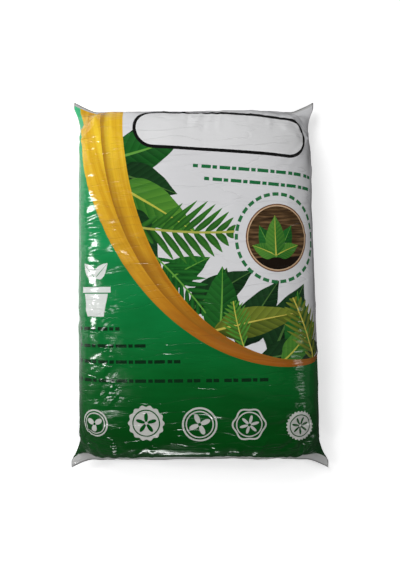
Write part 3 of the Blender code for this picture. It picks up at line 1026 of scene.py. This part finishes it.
def wooden_roundel(tree, film, under):
    """A brown roundel of grained wood with soil, a seedling and a rim, and a ring of dashes round it."""
    own = own_place(tree, film.place, ROUNDEL_CENTRE, ROUNDEL_SIZE)
    out = add(tree, VECTOR, own, operation="LENGTH")[1]
    grain_place = add(tree, VECTOR, own, WOOD_GRAIN, operation="MULTIPLY")[0]
    grain = add(tree, "ShaderNodeTexNoise", grain_place, None, 1.0, 4.0)[0]
    wood = set_ramp(add(tree, "ShaderNodeValToRGB", grain), WOOD_STOPS)
    east, north, _ = add(tree, "ShaderNodeSeparateXYZ", own)
    soil = add(tree, MATH, grain, SOIL_UNEVENNESS, north, operation="MULTIPLY_ADD")
    soil = add(tree, MATH, soil, SOIL_TOP, operation="LESS_THAN")
    wood = add(tree, MIX, soil, wood, from_hex("#1b120c"))
    wood = laid_leaves(tree, film.place, wood, SEEDLING, LEAF)
    on_rim = add(tree, MATH, out, RIM_FROM, operation="GREATER_THAN")
    wood = add(tree, MIX, on_rim, wood, from_hex("#6f4a30"))
    on_line = add(tree, MATH, out, RIM_LINE, RIM_LINE_HALF, operation="COMPARE")
    wood = add(tree, MIX, on_line, wood, from_hex("#c9a987"))
    inside = add(tree, MATH, out, 1.0, operation="LESS_THAN")
    colour = print_on(tree, film, inside, under, wood)
    turn = add(tree, MATH, north, east, operation="ARCTAN2")
    turn = add(tree, MATH, turn, RING_DASHES_PER_RADIAN, operation="MULTIPLY")
    turn = add(tree, MATH, turn, operation="FRACT")
    dashes = add(tree, MATH, turn, RING_DASH_SHARE, operation="LESS_THAN")
    on_ring = add(tree, MATH, out, RING_OUT, RING_HALF, operation="COMPARE")
    on_ring = add(tree, MATH, on_ring, dashes, operation="MULTIPLY")
    return print_on(tree, film, on_ring, colour, from_hex("#2b6f40"))


def green_field(tree, film):
    """The green field, lighter up the bag, with clouds in its ink, dashes, emblems and a potted sprout."""
    green = set_ramp(add(tree, "ShaderNodeValToRGB", film.height), FIELD_STOPS)
    cloud_place = add(tree, VECTOR, film.millimetres, CLOUDS_PER_MM, operation="MULTIPLY")[0]
    clouds = add(tree, "ShaderNodeTexNoise", cloud_place, None, 1.0, 3.0)[0]
    clouds = add(tree, "ShaderNodeMapRange", clouds, *NOISE_SPAN, 0.0, CLOUD_MOST)[0]
    green = add(tree, MIX, clouds, green, from_hex("#9fc4a4"), blend_type="MULTIPLY")
    green = laid_dashes(tree, film, green, GREEN_DASHES, "#082c14")
    for centre, radius, *shape in EMBLEMS:
        own = own_place(tree, film.place, centre, (radius, radius))
        emblem = add(tree, "ShaderNodeGroup", own, *shape, node_tree=ROSETTE)
        green = print_on(tree, film, emblem, green, from_hex("#b9bab5"))
    sprout = potted_sprout(tree, own_place(tree, film.place, SPROUT_CENTRE, SPROUT_SIZE))
    sprout = add(tree, MATH, sprout, film.on_front, operation="MULTIPLY", use_clamp=True)
    return add(tree, MIX, sprout, green, from_hex("#d4d8d4"))


def bands_and_field(tree, film, colour):
    """The gold bands and the green field, each outside the last. The inner band darkens under the outer."""
    inner_out, middle_out, outer_out = (
        inside_curve(tree, film.place, *oval) for oval in (INNER_OVAL, MIDDLE_OVAL, OUTER_OVAL)
    )
    inner_gold = gold_band(tree, film.height, inner_out, GOLD_STOPS)
    under_fold = add(tree, "ShaderNodeMapRange", middle_out, FOLD_SHADE_FROM, 1.0, 0.0, FOLD_SHADE)[0]
    inner_gold = add(tree, MIX, under_fold, inner_gold, from_hex("#8a5a1c"))
    outer_gold = gold_band(tree, film.height, outer_out, GOLD_STOPS)
    past = [add(tree, MATH, out, 1.0, operation="GREATER_THAN") for out in (inner_out, middle_out, outer_out)]
    for beyond, ink in zip(past, (inner_gold, outer_gold, green_field(tree, film))):
        colour = add(tree, MIX, beyond, colour, ink)
    return colour


def unprinted_ends(tree, film, colour):
    """The milky bare film at both ends."""
    to_side = add(tree, MATH, film.across, PRINT_SIDE, operation="DIVIDE")
    to_side = add(tree, MATH, to_side, operation="ABSOLUTE")
    to_side = add(tree, MATH, to_side, PRINT_SIDE_POWER, operation="POWER")
    foot = add(tree, MATH, to_side, -PRINT_SIDE_DROP, UNPRINTED_BELOW, operation="MULTIPLY_ADD")
    below = add(tree, MATH, film.up, foot, operation="LESS_THAN")
    above = add(tree, MATH, film.up, UNPRINTED_ABOVE, operation="GREATER_THAN")
    unprinted = add(tree, MATH, below, above, operation="MAXIMUM")
    return add(tree, MIX, unprinted, colour, from_hex("#c2c2c1"))


def film_relief(tree, film, off_middle, grain):
    """The film's fine grain, the weld's ribs, its crinkles and its slack creases, as a height."""
    ribs = add(tree, MATH, off_middle, RIB_TURN_PER_MM, operation="MULTIPLY")
    ribs = add(tree, MATH, ribs, operation="SINE")
    on_weld = add(tree, MATH, off_middle, FLAT_LENGTH * MM / 2, operation="GREATER_THAN")
    relief = add(tree, MATH, ribs, on_weld, grain, operation="MULTIPLY_ADD")
    relief = add(tree, MATH, relief, WELD_RELIEF, operation="MULTIPLY")
    crinkle_place = add(tree, VECTOR, film.millimetres, CRINKLES_PER_MM, operation="MULTIPLY")[0]
    crinkles = add(tree, "ShaderNodeTexNoise", crinkle_place, None, 1.0, 3.0)[0]
    relief = add(tree, MATH, crinkles, CRINKLE_RELIEF, relief, operation="MULTIPLY_ADD")
    crease_place = add(tree, VECTOR, film.millimetres, CREASES_PER_MM, operation="MULTIPLY")[0]
    creases = add(tree, "ShaderNodeTexNoise", crease_place, None, 1.0, 2.0)[0]
    creases = add(tree, MATH, creases, 0.5, operation="SUBTRACT")
    creases = add(tree, MATH, creases, operation="ABSOLUTE")
    creases = add(tree, "ShaderNodeMapRange", creases, 0.0, CREASE_LINE, 0.0, 1.0)[0]
    return add(tree, MATH, creases, CREASE_RELIEF, relief, operation="MULTIPLY_ADD")


def printed_polyethylene():
    """Blown polyethylene film off a gravure press: even, saturated inks under a clear, wet-looking gloss.

    Each crinkle catches a small hard highlight. The film's index is near the shader's own 1.5.
    """
    material = bpy.data.materials.new("gravure_printed_polyethylene")
    material.use_nodes = True
    tree = material.node_tree
    shader = tree.nodes["Principled BSDF"]
    film = flat_film(tree)
    colour = pale_field(tree, film)
    colour = outlined_panel(tree, film, colour)
    colour = laid_dashes(tree, film, colour, PALE_DASHES, "#1f6b3d")
    colour = wooden_roundel(tree, film, colour)
    colour = bands_and_field(tree, film, colour)
    off_middle = add(tree, MATH, film.up, operation="ABSOLUTE")
    colour = unprinted_ends(tree, film, colour)
    tree.links.new(colour, shader.inputs["Base Color"])
    grain = add(tree, "ShaderNodeTexNoise", film.millimetres, None, GRAIN_PER_MM, 3.0)[0]
    smudges = add(tree, "ShaderNodeTexNoise", film.millimetres, None, SMUDGES_PER_MM, 2.0)[0]
    roughness = add(tree, "ShaderNodeMapRange", smudges, *SMUDGE_SPAN, *FILM_GLOSS)[0]
    tree.links.new(roughness, shader.inputs["Roughness"])
    bump = add(tree, "ShaderNodeBump", 1.0, 1 / MM, None, film_relief(tree, film, off_middle, grain))
    tree.links.new(bump, shader.inputs["Normal"])
    return material


bag.data.materials.append(printed_polyethylene())

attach(bag, "root")
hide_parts("compost_bag")

# Camera, looking straight down at the printed front
PHOTO_SCALE = 0.00103
PHOTO_WIDTH = 400
CAMERA_HEIGHT = 1.0
FOCUS_HEIGHT = 0.035
SENSOR_WIDTH = 36
camera = bpy.data.objects.new("camera", bpy.data.cameras.new("camera"))
bpy.context.scene.collection.objects.link(camera)
camera.data.sensor_fit = "HORIZONTAL"
camera.data.sensor_width = SENSOR_WIDTH
camera.data.lens = SENSOR_WIDTH * (CAMERA_HEIGHT - FOCUS_HEIGHT) / (PHOTO_WIDTH * PHOTO_SCALE)
camera.location = (0.0, 0.0, CAMERA_HEIGHT)
bpy.context.scene.camera = camera

FLOOR_SIZE = 6
FLOOR_DROP = 0.0004
FLOOR_GLOW = 0.45
# Paper white, and the dim grey of the floor's painted shade. The painted patch of light to the bag's left
# fades out over these spans, in metres
WHITE, PAINTED_SHADE_GREY = "#f4f4f4", "#4c4c4c"
PAINTED_LIT_EAST = (-0.13, -0.06)
PAINTED_LIT_NORTH = (-0.15, -0.04)
PAINTED_LIT_LEAST = 0.1


def white_paper():
    """Matt uncoated paper: an even white with no gloss, which only takes the bag's soft shadow.

    It is white to the camera alone. What the film mirrors, and the light that comes back up from the floor,
    see a painted shade of dim grey, apart from a painted pool of light to the bag's left.
    """
    material = bpy.data.materials.new("matt_white_paper")
    material.use_nodes = True
    tree = material.node_tree
    shader = tree.nodes["Principled BSDF"]
    shader.inputs["Roughness"].default_value = 0.9
    shader.inputs["Emission Color"].default_value = (1, 1, 1, 1)
    seen = add(tree, "ShaderNodeLightPath")[0]
    place = add(tree, "ShaderNodeTexCoord")[3]
    east, north, _ = add(tree, "ShaderNodeSeparateXYZ", place)
    # Painted light: a pale patch of floor to the bag's left, fading out towards the bag's lower end
    painted_lit_patch = add(tree, "ShaderNodeMapRange", east, *PAINTED_LIT_EAST, 1.0, 0.0)[0]
    painted_lit_patch_fade = add(tree, "ShaderNodeMapRange", north, *PAINTED_LIT_NORTH, PAINTED_LIT_LEAST, 1.0)[0]
    painted_lit_patch = add(tree, MATH, painted_lit_patch, painted_lit_patch_fade, operation="MULTIPLY")
    # Rays other than the camera's see painted shade, dim grey, outside the painted patch of light
    mirrored = add(tree, MIX, painted_lit_patch, from_hex(PAINTED_SHADE_GREY), from_hex(WHITE))
    colour = add(tree, MIX, seen, mirrored, from_hex(WHITE))
    tree.links.new(colour, shader.inputs["Base Color"])
    glow = add(tree, MATH, seen, FLOOR_GLOW, operation="MULTIPLY")
    tree.links.new(glow, shader.inputs["Emission Strength"])
    return material


# The floor lies a little under the bag's flat back, so that the two don't share a plane
bpy.ops.mesh.primitive_plane_add(size=FLOOR_SIZE, location=(0, 0, -FLOOR_DROP))
floor = bpy.context.object
floor.name = "studio_floor"
floor.data.materials.append(white_paper())

# Room: dim walls under a darker ceiling, which the flat of the film mirrors
ROOM_HEIGHTS = (0.05, 0.7)
ROOM_LIGHT = (0.22, 0.04)
world = bpy.data.worlds.new("studio")
bpy.context.scene.world = world
world.use_nodes = True
room = world.node_tree
direction = add(room, "ShaderNodeTexCoord")[0]
room_height = add(room, "ShaderNodeSeparateXYZ", direction)[2]
room_light = add(room, "ShaderNodeMapRange", room_height, *ROOM_HEIGHTS, *ROOM_LIGHT)[0]
backdrop = room.nodes["Background"]
backdrop.inputs["Color"].default_value = (1, 1, 1, 1)
room.links.new(room_light, backdrop.inputs["Strength"])

# Lamps: heading and rise in degrees, distance and size in metres, power, and whether the film mirrors them
LAMPS = {
    "window": (178, 25, 1.4, (0.15, 0.34), 7, True),
    "high_window": (-156, 54, 1.4, (0.12, 0.12), 1.5, True),
    "far_window": (-14, 32, 1.4, (0.1, 0.3), 0.6, True),
    "low_window": (-97, 20, 1.4, (0.24, 0.1), 2.6, True),
    "overhead_left": (122, 48, 1.6, (0.7, 0.7), 11.5, False),
    "overhead_right": (10, 66, 1.6, (0.9, 0.9), 6.6, False),
}


def soft_lamp(name, heading, rise, distance, size, power, mirrored):
    """A soft lamp that faces the bag, at a heading round it and a rise above the floor."""
    lamp = bpy.data.lights.new(name, "AREA")
    lamp.shape = "RECTANGLE"
    lamp.size, lamp.size_y = size
    lamp.energy = power
    holder = bpy.data.objects.new(name, lamp)
    bpy.context.scene.collection.objects.link(holder)
    turn, lift = math.radians(heading), math.radians(rise)
    level = math.cos(lift)
    place = Vector((math.cos(turn) * level, math.sin(turn) * level, math.sin(lift))) * distance
    holder.location = place
    holder.rotation_euler = (-place).to_track_quat("-Z", "Y").to_euler()
    holder.visible_glossy = mirrored


for name, values in LAMPS.items():
    soft_lamp(name, *values)

bpy.context.scene.view_settings.view_transform = "Standard"
